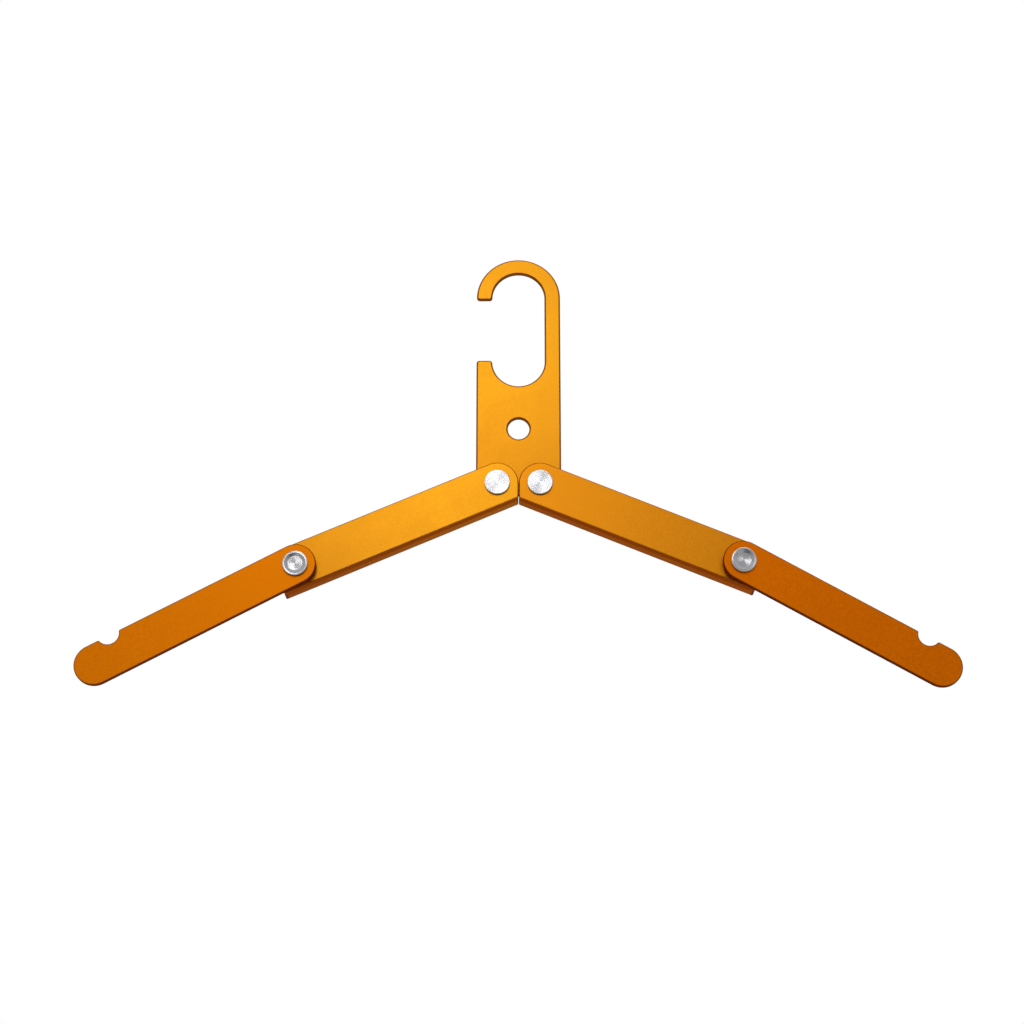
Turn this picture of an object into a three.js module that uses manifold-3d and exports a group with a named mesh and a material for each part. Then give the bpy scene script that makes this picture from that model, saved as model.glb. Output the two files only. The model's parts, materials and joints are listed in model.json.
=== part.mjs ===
// Folding travel hanger: a slotted hook plate, two trough-shaped inner arms and two flat outer arms.
// Millimetres, +Z up, +X to the right as seen from the front, front faces -Y.
// The origin is the top of the hook's slot, at mid thickness, where the hanger hangs on a rod.

import * as THREE from "three";
import { mergeVertices } from "three/addons/utils/BufferGeometryUtils.js";
import Module from "manifold-3d";

const wasm = await Module();
wasm.setup();

// Clearances
const seatGap = 0.3; // between a piece and the face that it rests on
const boreGap = 0.3; // between a pin and its bore, on the radius
const wrapGap = 0.3; // between the folded trough's floor and the hook plate's side edge
const meetingGap = 0.3; // between the two inner arms where they meet on the centre line
const passGap = 0.45; // between the hook plate and the head inside the folded trough
const foldGap = 0.4; // between the folded outer arm and the inner pivot's head
const stopGap = 0.7; // between the outer slip washer and the stop pin's path round it
const cutOverrun = 2; // how far a cutting body runs past the face that it cuts

// Hook plate
const lobeRadius = 10; // the two round lobes at the foot, which also set the plate's width
const pivotSpacing = 20;
const lobeFillet = 3;
const hookThickness = 2.5;
const hookEdge = 0.4;
const slotWidth = 25;
const slotLowCentre = 61.9; // above the inner pivots
const slotHighCentre = 94.5; // above the inner pivots
const tipDrop = 1; // tip's end below the upper slot centre
const lipRise = 0.45; // lip's end above the lower slot centre
const hookCorner = 1.5; // rounding of the tip and the lip
const lanyardHole = 10.2;
const lanyardHeight = 27.8; // above the inner pivots

// Inner arm, a trough bent from sheet and open along its top
const innerLink = 101; // inner pivot to outer pivot, along the trough
const sheet = 1.2;
const bendInside = 0.4;
const troughOverhang = 9.7; // trough beyond the outer pivot, which also rounds its upper end
const troughCorner = 0.6; // rounding of its lower end

// Outer arm, a flat bar
const outerLink = 101; // outer pivot to the centre of the round tip
const outerWidth = 18.8;
const outerThickness = 3;
const outerEdge = 0.4;
const notchRadius = 5.1;
const notchOutset = 1; // notch centre beyond the top edge
const notchCorner = 0.8;
const notchInset = 11.4; // notch centre back from the round tip's centre

// Pivots
const shankDiameter = 5;
const headDiameter = 11.8;
const headThickness = 1.1; // of the inner pivots' flat heads
const lowHeadThickness = 0.6; // of the outer pivots' heads, inside the troughs
const headEdge = 0.2;
const capDiameter = 11.6;
const capThickness = 1.3;
const capRim = 0.6; // flat of the raised rim, seen from the front
const capSlope = 1.4; // sloping wall between the rim and the dished floor
const capDish = 0.5; // depth of the dished floor at its edge
const capCone = 0.15; // further fall of the floor towards its centre
const capEdge = 0.3;
const spigotDiameter = 2.4; // the cap's stem, pressed into the tubular shank
const spigotLength = 4;
const slipDiameter = 11;
const springDiameter = 9.6;
const springThickness = 0.25;
const springRise = 0.15;

// Stop between the outer arm and the trough, hidden under the arm's round end
const stopPinDiameter = 1.8;
const stopSeatDepth = 1.9; // how deep the stop pin sits in the outer arm

// Opened pose, below the horizontal
const leftInnerDegrees = 23.25;
const rightInnerDegrees = 22.25;
const leftOuterDegrees = 27.9;
const rightOuterDegrees = 29.45;

// Facets
const facetError = 0.03; // how far a facet may lie inside its arc
const turnedSides = 32;
const stopPinSides = 16;

// Derived sizes
const shankRadius = shankDiameter / 2;
const boreRadius = shankRadius + boreGap;
const halfPivots = pivotSpacing / 2;
const halfWidth = halfPivots + lobeRadius;
const slotRadius = slotWidth / 2;
const pivotHeight = -(slotHighCentre + slotRadius);
const armEndRadius = halfPivots - meetingGap / 2;
const floorInside = lobeRadius + wrapGap;
const floorOutside = floorInside + sheet;
const outerPivotDrop = (floorOutside - armEndRadius) / 2;
const outerRadius = outerWidth / 2;
const hookFace = hookThickness / 2;
const springHeight = springThickness + springRise;
const innerSlipThickness = passGap + lowHeadThickness + springHeight;
const troughInside = hookFace + innerSlipThickness + 2 * seatGap;
const troughOutside = troughInside + sheet;
const innerHeadSeat = troughOutside + seatGap;
const outerRear = innerHeadSeat + headThickness + foldGap;
const outerFront = outerRear + outerThickness;
const slipRadius = slipDiameter / 2;
const stopPinRadius = stopPinDiameter / 2;
const stopRadius = slipRadius + stopGap + stopPinRadius; // stop pin's distance from the outer pivot
const spigotRadius = spigotDiameter / 2;
const tubeRadius = spigotRadius + boreGap;
const springFront = troughInside - seatGap;
const outerHeadSeat = springFront - springHeight - seatGap;
const radians = Math.PI / 180;
const innerDroop = { left: leftInnerDegrees * radians, right: rightInnerDegrees * radians };
const outerDroop = { left: leftOuterDegrees * radians, right: rightOuterDegrees * radians };

const orange = { color: 0xee9a1e, roughness: 0.45, metalness: 0.9 };
const deepOrange = { color: 0xd06f08, roughness: 0.45, metalness: 0.9 };
const silver = { color: 0xdfe3e8, roughness: 0.25, metalness: 1 };
const paleNylon = { color: 0xe8e4da, roughness: 0.6, metalness: 0 };
const springSteel = { color: 0x8b8f94, roughness: 0.35, metalness: 1 };

// A closed three.js geometry as a solid, for joining and cutting
function toSolid(geometry) {
  const bare = geometry.clone();
  bare.deleteAttribute("normal");
  bare.deleteAttribute("uv");
  const merged = mergeVertices(bare);
  const corners = merged.index.array;
  const triangles = [];
  for (let first = 0; first < corners.length; first += 3) {
    const [a, b, c] = corners.slice(first, first + 3);
    if (a !== b && b !== c && c !== a) {
      triangles.push(a, b, c);
    }
  }
  const mesh = new wasm.Mesh({
    numProp: 3,
    vertProperties: new Float32Array(merged.attributes.position.array),
    triVerts: new Uint32Array(triangles),
  });
  return new wasm.Manifold(mesh);
}

function toGeometry(solid) {
  const mesh = solid.getMesh();
  const geometry = new THREE.BufferGeometry();
  geometry.setAttribute("position", new THREE.BufferAttribute(new Float32Array(mesh.vertProperties), 3));
  geometry.setIndex(new THREE.BufferAttribute(new Uint32Array(mesh.triVerts), 1));
  return geometry;
}

// The left-hand twin of a right-hand piece, with its faces turned to point out again
function mirrored(geometry) {
  const twin = geometry.clone();
  twin.scale(-1, 1, 1);
  const corners = twin.index.array;
  for (let first = 0; first < corners.length; first += 3) {
    const second = corners[first + 1];
    corners[first + 1] = corners[first + 2];
    corners[first + 2] = second;
  }
  return twin;
}

// A front-view outline collected point by point, with arcs cut into facets
class Outline {
  constructor() {
    this.points = [];
  }

  to(x, z) {
    const point = new THREE.Vector2(x, z);
    const last = this.points.at(-1);
    if (!last || last.distanceTo(point) > facetError) {
      this.points.push(point);
    }
    return this;
  }

  arc(x, z, radius, from, until) {
    const largest = 2 * Math.acos(1 - facetError / radius);
    const steps = Math.max(2, Math.ceil(Math.abs(until - from) / largest));
    for (let step = 0; step <= steps; step += 1) {
      const angle = from + ((until - from) * step) / steps;
      this.to(x + radius * Math.cos(angle), z + radius * Math.sin(angle));
    }
    return this;
  }

  closed() {
    if (this.points[0].distanceTo(this.points.at(-1)) <= facetError) {
      this.points.pop();
    }
    return this.points;
  }
}

function circle(x, z, radius) {
  return new Outline().arc(x, z, radius, 0, 2 * Math.PI).closed();
}

// A front-view outline made into a plate between two depths, with its edges chamfered
function plate(outline, holes, front, rear, edge = 0) {
  const shape = new THREE.Shape(outline);
  shape.holes = holes.map((hole) => new THREE.Path(hole));
  const geometry = new THREE.ExtrudeGeometry(shape, {
    depth: rear - front - 2 * edge,
    bevelEnabled: edge > 0,
    bevelThickness: edge,
    bevelSize: edge,
    bevelOffset: -edge,
    bevelSegments: 1,
  });
  geometry.translate(0, 0, edge);
  geometry.rotateX(Math.PI / 2);
  geometry.translate(0, rear, 0);
  return geometry;
}

// A profile of [radius, depth] points turned about the pivot axis, which runs along Y
function turned(profile, sides = turnedSides) {
  const points = profile.map(([radius, depth]) => new THREE.Vector2(radius, depth));
  return new THREE.LatheGeometry(points, sides);
}

function washer(outer, front, rear) {
  return turned([
    [boreRadius, front],
    [outer, front],
    [outer, rear],
    [boreRadius, rear],
    [boreRadius, front],
  ]);
}

// Hook plate, drawn with the inner pivots at height zero

// Where the small rounding between an arc about a slot centre and a level end sits.
// past is how far that end lies past the centre, up is 1 for the lip and -1 for the tip, and
// reach is from the centre to the rounding's.
function endRounding(centre, past, up, reach) {
  const rise = Math.max(hookCorner - past, 0);
  const x = -Math.sqrt(reach * reach - rise * rise);
  return { x, z: centre + up * (past - hookCorner), turn: Math.atan2(rise, -x) };
}

function hookOutline() {
  const half = Math.PI;
  const quarter = half / 2;
  const lip = endRounding(slotLowCentre, lipRise, 1, slotRadius + hookCorner);
  const tip = endRounding(slotHighCentre, tipDrop, -1, slotRadius + hookCorner);
  const tipSide = endRounding(slotHighCentre, tipDrop, -1, halfWidth - hookCorner);
  const reach = lobeRadius + lobeFillet;
  const saddleZ = -Math.sqrt(reach * reach - halfPivots * halfPivots);
  const saddleTurn = Math.atan2(-saddleZ, halfPivots);
  return new Outline()
    .arc(0, slotHighCentre, halfWidth, 0, half - tipSide.turn)
    .arc(tipSide.x, tipSide.z, hookCorner, half - tipSide.turn, 3 * quarter)
    .arc(tip.x, tip.z, hookCorner, 3 * quarter, 2 * half - tip.turn)
    .arc(0, slotHighCentre, slotRadius, half - tip.turn, 0)
    .arc(0, slotLowCentre, slotRadius, 0, lip.turn - half)
    .arc(lip.x, lip.z, hookCorner, lip.turn, quarter)
    .arc(-halfWidth + hookCorner, lip.z, hookCorner, quarter, half)
    .arc(-halfPivots, 0, lobeRadius, half, 2 * half - saddleTurn)
    .arc(0, saddleZ, lobeFillet, half - saddleTurn, saddleTurn)
    .arc(halfPivots, 0, lobeRadius, half + saddleTurn, 2 * half)
    .closed();
}

function hookPlate() {
  const bores = [-halfPivots, halfPivots].map((x) => circle(x, 0, boreRadius));
  const holes = [circle(0, lanyardHeight, lanyardHole / 2), ...bores];
  return plate(hookOutline(), holes, -hookFace, hookFace, hookEdge);
}

// Right-hand inner arm, drawn with its inner pivot at the origin and its length along X

// The trough's side view: round at the pivot, cut upright where the arms meet, square at the end
function troughOutline(droop) {
  const end = innerLink + troughOverhang;
  const footX = (floorOutside * Math.sin(droop) - armEndRadius) / Math.cos(droop);
  const quarter = Math.PI / 2;
  return new Outline()
    .to(footX, -floorOutside)
    .arc(end - troughCorner, troughCorner - floorOutside, troughCorner, -quarter, 0)
    .arc(innerLink, armEndRadius - troughOverhang, troughOverhang, 0, quarter)
    .arc(0, 0, armEndRadius, quarter, Math.PI + droop)
    .closed();
}

// The bent sheet's section, in depth and height: two walls joined by a floor with rounded bends
function troughSection() {
  const bendOutside = bendInside + sheet;
  const mouth = armEndRadius + cutOverrun;
  const quarter = Math.PI / 2;
  return new Outline()
    .to(-troughOutside, mouth)
    .arc(bendOutside - troughOutside, bendOutside - floorOutside, bendOutside, -2 * quarter, -quarter)
    .arc(troughOutside - bendOutside, bendOutside - floorOutside, bendOutside, -quarter, 0)
    .to(troughOutside, mouth)
    .to(troughInside, mouth)
    .arc(troughInside - bendInside, bendInside - floorInside, bendInside, 0, -quarter)
    .arc(bendInside - troughInside, bendInside - floorInside, bendInside, -quarter, -2 * quarter)
    .to(-troughInside, mouth)
    .closed();
}

function troughBar() {
  const reach = innerLink + troughOverhang + cutOverrun;
  const bar = new THREE.ExtrudeGeometry(new THREE.Shape(troughSection()), {
    depth: 2 * reach,
    bevelEnabled: false,
  });
  bar.translate(0, 0, -reach);
  bar.rotateX(Math.PI / 2);
  bar.rotateZ(Math.PI / 2);
  return bar;
}

// How far the outer arm turns from its opened pose until it lies along the trough.
// bend is how much lower the opened outer arm points than the trough.
function foldTravel(bend) {
  return Math.PI - Math.atan2(outerPivotDrop, innerLink) + bend;
}

// The curved slot that the stop pin runs in, round the outer pivot
function stopSlot(bend) {
  const halfSlot = stopPinRadius + boreGap;
  const start = Math.PI / 2 - bend;
  const finish = start + foldTravel(bend);
  const endAt = (angle) => [
    innerLink + stopRadius * Math.cos(angle),
    stopRadius * Math.sin(angle) - outerPivotDrop,
  ];
  return new Outline()
    .arc(innerLink, -outerPivotDrop, stopRadius + halfSlot, start, finish)
    .arc(...endAt(finish), halfSlot, finish, finish + Math.PI)
    .arc(innerLink, -outerPivotDrop, stopRadius - halfSlot, finish, start)
    .arc(...endAt(start), halfSlot, start - Math.PI, start)
    .closed();
}

function innerArm(droop, bend) {
  const front = -troughOutside;
  const block = toSolid(plate(troughOutline(droop), [], front - cutOverrun, troughOutside + cutOverrun));
  const innerBore = plate(circle(0, 0, boreRadius), [], front - cutOverrun, troughOutside + cutOverrun);
  const frontCuts = [circle(innerLink, -outerPivotDrop, boreRadius), stopSlot(bend)];
  let arm = block.intersect(toSolid(troughBar())).subtract(toSolid(innerBore));
  for (const cut of frontCuts) {
    arm = arm.subtract(toSolid(plate(cut, [], front - cutOverrun, 0)));
  }
  return toGeometry(arm);
}

// Right-hand outer arm, drawn with its pivot at the origin and its length along X

function outerOutline() {
  const quarter = Math.PI / 2;
  const notchZ = outerRadius + notchOutset;
  const roundingZ = outerRadius - notchCorner;
  const fall = notchZ - roundingZ;
  const reach = notchRadius + notchCorner;
  const run = Math.sqrt(reach * reach - fall * fall);
  const turn = Math.atan2(fall, run);
  const notchX = outerLink - notchInset;
  return new Outline()
    .arc(outerLink, 0, outerRadius, -quarter, quarter)
    .arc(notchX + run, roundingZ, notchCorner, quarter, Math.PI - turn)
    .arc(notchX, notchZ, notchRadius, -turn, turn - Math.PI)
    .arc(notchX - run, roundingZ, notchCorner, turn, quarter)
    .arc(0, 0, outerRadius, quarter, 3 * quarter)
    .closed();
}

function outerArm() {
  const bar = plate(outerOutline(), [circle(0, 0, boreRadius)], -outerFront, -outerRear, outerEdge);
  const seat = circle(0, stopRadius, stopPinRadius + boreGap);
  const seatFloor = outerRear + stopSeatDepth + seatGap;
  const seatCut = plate(seat, [], -seatFloor, cutOverrun - outerRear);
  return toGeometry(toSolid(bar).subtract(toSolid(seatCut)));
}

// Pivots, turned about the Y axis. A pin is a flat head on a tubular shank, and a cap is a dished
// head with a spigot that is pressed into the tube. seat is the depth of a head's bearing face,
// end that of the shank's open end, and outward is the sign of the way that the head faces.

function pivotPin(seat, end, outward, thickness) {
  const face = seat + outward * thickness;
  const tubeFloor = end + outward * (spigotLength + seatGap);
  const radius = headDiameter / 2;
  return turned(
    facingOut(outward, [
      [0, face],
      [radius - headEdge, face],
      [radius, face - outward * headEdge],
      [radius, seat],
      [shankRadius, seat],
      [shankRadius, end],
      [tubeRadius, end],
      [tubeRadius, tubeFloor],
      [0, tubeFloor],
    ]),
  );
}

function pivotCap(seat, outward) {
  const face = seat + outward * capThickness;
  const floor = face - outward * capDish;
  const radius = capDiameter / 2;
  const dishRadius = radius - capEdge - capRim;
  return turned(
    facingOut(outward, [
      [0, floor - outward * capCone],
      [dishRadius - capSlope, floor],
      [dishRadius, face],
      [radius - capEdge, face],
      [radius, face - outward * capEdge],
      [radius, seat],
      [spigotRadius, seat],
      [spigotRadius, seat - outward * spigotLength],
      [0, seat - outward * spigotLength],
    ]),
  );
}

// A profile drawn from the outward face inwards, put in the order that points its faces out
function facingOut(outward, profile) {
  return outward < 0 ? profile : profile.toReversed();
}

function springWasher() {
  const radius = springDiameter / 2;
  const front = -springFront;
  return turned([
    [boreRadius, front],
    [radius, front + springRise],
    [radius, front + springHeight],
    [boreRadius, front + springThickness],
    [boreRadius, front],
  ]);
}

function stopPin() {
  const pin = turned(
    [
      [0, -outerRear - stopSeatDepth],
      [stopPinRadius, -outerRear - stopSeatDepth],
      [stopPinRadius, -troughInside - seatGap],
      [0, -troughInside - seatGap],
    ],
    stopPinSides,
  );
  pin.translate(0, 0, stopRadius);
  return pin;
}

// Assembly

function piece(name, geometry, look) {
  const mesh = new THREE.Mesh(geometry, new THREE.MeshStandardMaterial(look));
  mesh.name = name;
  return mesh;
}

function outerAssembly(side, sign, bend) {
  const arm = new THREE.Group();
  const bar = outerArm();
  arm.add(
    piece(`${side}_outer_arm`, sign < 0 ? mirrored(bar) : bar, deepOrange),
    piece(`${side}_outer_pivot_pin`, pivotPin(-outerHeadSeat, -outerFront, 1, lowHeadThickness), silver),
    piece(`${side}_outer_pivot_cap`, pivotCap(-outerFront - seatGap, -1), silver),
    piece(
      `${side}_outer_slip_washer`,
      washer(slipRadius, seatGap - outerRear, -troughOutside - seatGap),
      paleNylon,
    ),
    piece(`${side}_outer_stop_pin`, stopPin(), silver),
  );
  arm.position.set(sign * innerLink, 0, -outerPivotDrop);
  arm.rotation.y = sign * bend;
  return arm;
}

function innerAssembly(side, sign) {
  const arm = new THREE.Group();
  const droop = innerDroop[side];
  const bend = outerDroop[side] - droop;
  const trough = innerArm(droop, bend);
  const spring = springWasher();
  spring.translate(sign * innerLink, 0, -outerPivotDrop);
  arm.add(
    piece(`${side}_inner_arm`, sign < 0 ? mirrored(trough) : trough, orange),
    piece(`${side}_inner_pivot_pin`, pivotPin(-innerHeadSeat, troughOutside, -1, headThickness), silver),
    piece(`${side}_inner_pivot_cap`, pivotCap(innerHeadSeat, 1), silver),
    piece(
      `${side}_inner_front_washer`,
      washer(slipRadius, seatGap - troughInside, -hookFace - seatGap),
      paleNylon,
    ),
    piece(
      `${side}_inner_rear_washer`,
      washer(slipRadius, hookFace + seatGap, troughInside - seatGap),
      paleNylon,
    ),
    piece(`${side}_outer_spring_washer`, spring, springSteel),
    outerAssembly(side, sign, bend),
  );
  arm.position.set(sign * halfPivots, 0, 0);
  arm.rotation.y = sign * droop;
  return arm;
}

const hanger = new THREE.Group();
hanger.add(
  piece("hook_plate", hookPlate(), orange),
  innerAssembly("left", -1),
  innerAssembly("right", 1),
);
hanger.position.z = pivotHeight;

export default hanger;
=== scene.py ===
"""The looks of the folding travel hanger: fine meshes, finishes, studio light and camera.

The pieces' sizes are in millimetres, and a mesh is turned into metres when it is made. The finishes
and the studio are in metres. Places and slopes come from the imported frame. Each arm is drawn in its
own frame, with its pivot at the origin and its length along X, and the left-hand arms are mirror
images of the right-hand ones.
"""

import json
import logging
import math
from dataclasses import dataclass, field
from enum import Enum
from typing import Any, Protocol, Sequence, Union

import bpy
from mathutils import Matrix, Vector
from mathutils.geometry import delaunay_2d_cdt

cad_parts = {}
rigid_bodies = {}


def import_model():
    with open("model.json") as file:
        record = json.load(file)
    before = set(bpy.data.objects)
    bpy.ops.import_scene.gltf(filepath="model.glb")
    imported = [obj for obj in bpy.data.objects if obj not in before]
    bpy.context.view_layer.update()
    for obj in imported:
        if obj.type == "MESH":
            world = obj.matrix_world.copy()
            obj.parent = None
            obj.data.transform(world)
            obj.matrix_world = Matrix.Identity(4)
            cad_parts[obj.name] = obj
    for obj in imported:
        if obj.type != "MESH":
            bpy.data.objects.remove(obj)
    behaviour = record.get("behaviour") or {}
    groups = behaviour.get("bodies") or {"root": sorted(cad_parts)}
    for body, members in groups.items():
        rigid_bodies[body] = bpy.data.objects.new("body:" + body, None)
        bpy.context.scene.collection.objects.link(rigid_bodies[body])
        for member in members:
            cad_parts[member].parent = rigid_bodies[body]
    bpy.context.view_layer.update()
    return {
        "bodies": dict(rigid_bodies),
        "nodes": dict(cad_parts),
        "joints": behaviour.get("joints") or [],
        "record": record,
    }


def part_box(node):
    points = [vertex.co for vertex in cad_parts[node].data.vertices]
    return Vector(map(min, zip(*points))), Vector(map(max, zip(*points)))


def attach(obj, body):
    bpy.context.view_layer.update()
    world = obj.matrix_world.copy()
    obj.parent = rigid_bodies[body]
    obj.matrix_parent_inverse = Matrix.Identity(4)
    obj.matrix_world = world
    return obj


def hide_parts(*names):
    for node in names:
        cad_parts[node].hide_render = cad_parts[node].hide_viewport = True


MM = 0.001
QUARTER = math.pi / 2
HALF_TURN = 2 * QUARTER
FULL_TURN = 4 * QUARTER
PLATE = "hook_plate"  # the plate's node

CHORD_ERROR = 0.004  # how far a short straight step may lie inside its arc
WIDEST_STEP = math.radians(15)  # the longest step of an arc
SAME_PLACE = 1e-4  # two points nearer than this are one
FILL_ACCURACY = SAME_PLACE / 10
INSIDE_THE_LINES = 1  # the triangles that the filling of a face keeps
EDGE_STEPS = 6  # steps of a rounded edge, from a face to the side wall
TURNED_SIDES = 120
TOUCHING = 0.02  # left between two pieces that rest on each other
PIVOT_BORE = 5.6  # the diameter of the bores that the pivots run in
PAINTED_SHADE = "painted_shade"  # the name of the meshes' attribute that holds the painted shade
FULL_SHADE = 1.0  # how dark the painted shade is on rounded edges and cut sides

MIX_FACTOR = 0  # the colour sockets of a Mix node
MIX_FIRST = 6
MIX_SECOND = 7
MIX_RESULT = 2
NOISE_MIDDLE = 0.5
OFF_AXIS = (1.0, 0.0, 1.0)  # leaves out the way along Y, the axis of every pivot
FRONTWARDS = (0.0, -1.0, 0.0)
DOWN = (0.0, 0.0, -1.0)
WHITE = (1.0, 1.0, 1.0, 1.0)

Colour = tuple[float, float, float]
Place = tuple[float, float, float]
Link = Union["Value", bpy.types.NodeSocket, float, Sequence[float]]

log = logging.getLogger("hanger")


class Side(Enum):
    """The two sides of the hanger, as seen from the front."""

    LEFT = "left"
    RIGHT = "right"

    @property
    def sign(self) -> int:
        """The sign of this side's X."""
        return -1 if self is Side.LEFT else 1


class Coat(Enum):
    """The finishes.

    The plate and the left inner arm are amber, each painted darker towards one end as shade.
    The right-hand arms are painted darker than the left-hand ones, as shade.
    """

    AMBER = "amber"
    PLATE_AMBER = "plate_amber"
    # the right-hand inner arm's amber, painted darker as shade
    DEEP_AMBER = "deep_amber"
    COPPER = "copper"
    # the right-hand outer arm's copper, painted darker as shade
    DEEP_COPPER = "deep_copper"
    SILVER = "silver"
    SPRING = "spring"
    NYLON = "nylon"


class Facing(Enum):
    """The way that a turned piece's outer end faces."""

    FRONT = "front"
    REAR = "rear"


# Lines and meshes


@dataclass
class Trace:
    """A line in a plane: points, and at each the direction that faces out of the material.

    A closed trace runs anticlockwise round the material and clockwise round a hole, so that
    out of the material is always to the right of the way that it runs.

    Attributes:
        points: The points.
        normals: The direction out of the material at each point.
        shade_depths: How dark the painted shade is at each point, from 0 to 1.
    """

    points: list[Vector] = field(default_factory=list)
    normals: list[Vector] = field(default_factory=list)
    shade_depths: list[float] = field(default_factory=list)

    def spot(self, x: float, y: float, normal: Sequence[float], depth: float = 0.0) -> "Trace":
        """Adds a point, unless the trace is already there.

        Args:
            x: The point's first coordinate.
            y: The point's second coordinate.
            normal: The direction out of the material at the point.
            depth: How dark the painted shade is there.

        Returns:
            The trace itself.
        """
        point = Vector((x, y))
        if not self.points or (point - self.points[-1]).length > SAME_PLACE:
            self.points.append(point)
            self.normals.append(Vector(normal).normalized())
            self.shade_depths.append(depth)
        return self

    def arc(
        self, x: float, y: float, radius: float, start: float, finish: float, depth: float = 0.0
    ) -> "Trace":
        """Adds an arc, anticlockwise where finish is the larger angle.

        Args:
            x: The centre's first coordinate.
            y: The centre's second coordinate.
            radius: The arc's radius.
            start: The angle of its first point.
            finish: The angle of its last point.
            depth: How dark the painted shade is along it.

        Returns:
            The trace itself.
        """
        largest = min(WIDEST_STEP, 2 * math.acos(1 - min(CHORD_ERROR / radius, 1)))
        steps = max(2, math.ceil(abs(finish - start) / largest))
        way = math.copysign(1, finish - start)
        for step in range(steps + 1):
            angle = start + (finish - start) * step / steps
            out = Vector((math.cos(angle), math.sin(angle)))
            self.spot(x + radius * out.x, y + radius * out.y, out * way, depth)
        return self

    def closed(self) -> "Trace":
        """Drops the last point where it repeats the first.

        Returns:
            The trace itself.
        """
        if (self.points[0] - self.points[-1]).length <= SAME_PLACE:
            for row in (self.points, self.normals, self.shade_depths):
                row.pop()
        return self


def round_hole(x: float, y: float, radius: float) -> Trace:
    """A round hole's trace, clockwise about its centre."""
    return Trace().arc(x, y, radius, FULL_TURN, 0).closed()


@dataclass(frozen=True)
class Corner:
    """A corner of a profile.

    Attributes:
        x: Its first coordinate.
        y: Its second coordinate.
        rounding: The radius that it is rounded to.
        depth: How dark the painted shade is there, from 0 to 1.
    """

    x: float
    y: float
    rounding: float = 0.0
    depth: float = 0.0

    @property
    def place(self) -> Vector:
        """Both coordinates together."""
        return Vector((self.x, self.y))


def profile_trace(corners: Sequence[Corner], ring: bool) -> Trace:
    """A line with straight stretches and rounded corners.

    Args:
        corners: The corners.
        ring: True where the last corner leads back to the first.

    Returns:
        The trace, with its material to the left of the way that it runs.
    """
    trace = Trace()
    count = len(corners)
    for index, corner in enumerate(corners):
        before = corners[index - 1 if ring else max(index - 1, 0)]
        after = corners[(index + 1) % count if ring else min(index + 1, count - 1)]
        arriving = (corner.place - before.place).normalized()
        leaving = (after.place - corner.place).normalized()
        if corner.rounding == 0:
            along = arriving + leaving
            trace.spot(corner.x, corner.y, (along.y, -along.x), corner.depth)
            continue
        turn = math.atan2(arriving.cross(leaving), arriving.dot(leaving))
        start = corner.place - arriving * corner.rounding * math.tan(abs(turn) / 2)
        inward = Vector((-arriving.y, arriving.x)) * math.copysign(corner.rounding, turn)
        centre = start + inward
        angle = math.atan2(-inward.y, -inward.x)
        trace.arc(centre.x, centre.y, corner.rounding, angle, angle + turn, corner.depth)
    return trace.closed() if ring else trace


class Shape(Protocol):
    """How a flat blank is laid into an arm's own frame."""

    def point(self, along: float, up: float, depth: float) -> Vector:
        """Where a point of the blank comes to lie."""

    def direction(self, up: float, normal: Vector) -> Vector:
        """The way that a direction of the blank comes to point, at a height of the blank."""

    def depth_of_painted_shade(self, up: float) -> float:
        """How dark the faces' painted shade is, at a height of the blank."""


class FlatShape:
    """A blank that stays flat: its height is Z, and its depth is Y, from front to rear."""

    def point(self, along: float, up: float, depth: float) -> Vector:
        """Where a point of the blank comes to lie."""
        return Vector((along, depth, up))

    def direction(self, up: float, normal: Vector) -> Vector:
        """The way that a direction of the blank comes to point."""
        return Vector((normal.x, normal.z, normal.y))

    def depth_of_painted_shade(self, up: float) -> float:
        """How dark the faces' painted shade is: none, as nothing is bent."""
        return 0.0


@dataclass(frozen=True)
class Placing:
    """Where a piece's own frame lies in the hanger, and whether it is turned over.

    Attributes:
        origin: The frame's origin, such as a pivot's middle.
        droop: How far its X axis points below the horizontal.
        side: The left side is a mirror image of the right.
        facing: A piece that faces the rear is a mirror image of one that faces the front.
    """

    origin: Vector
    droop: float = 0.0
    side: Side = Side.RIGHT
    facing: Facing = Facing.FRONT

    @property
    def mirrors(self) -> bool:
        """True where the faces have to be turned round to point out."""
        return (self.side is Side.LEFT) != (self.facing is Facing.REAR)

    def direction(self, local: Vector) -> Vector:
        """Turns a direction, or a place from the origin, into the hanger's frame.

        Args:
            local: The direction or the place in the piece's own frame.

        Returns:
            The same in the hanger's frame, as seen from the piece's origin.
        """
        cosine = math.cos(self.droop)
        sine = math.sin(self.droop)
        across = self.side.sign * (local.x * cosine + local.z * sine)
        depth = local.y if self.facing is Facing.FRONT else -local.y
        return Vector((across, depth, local.z * cosine - local.x * sine))


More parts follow.
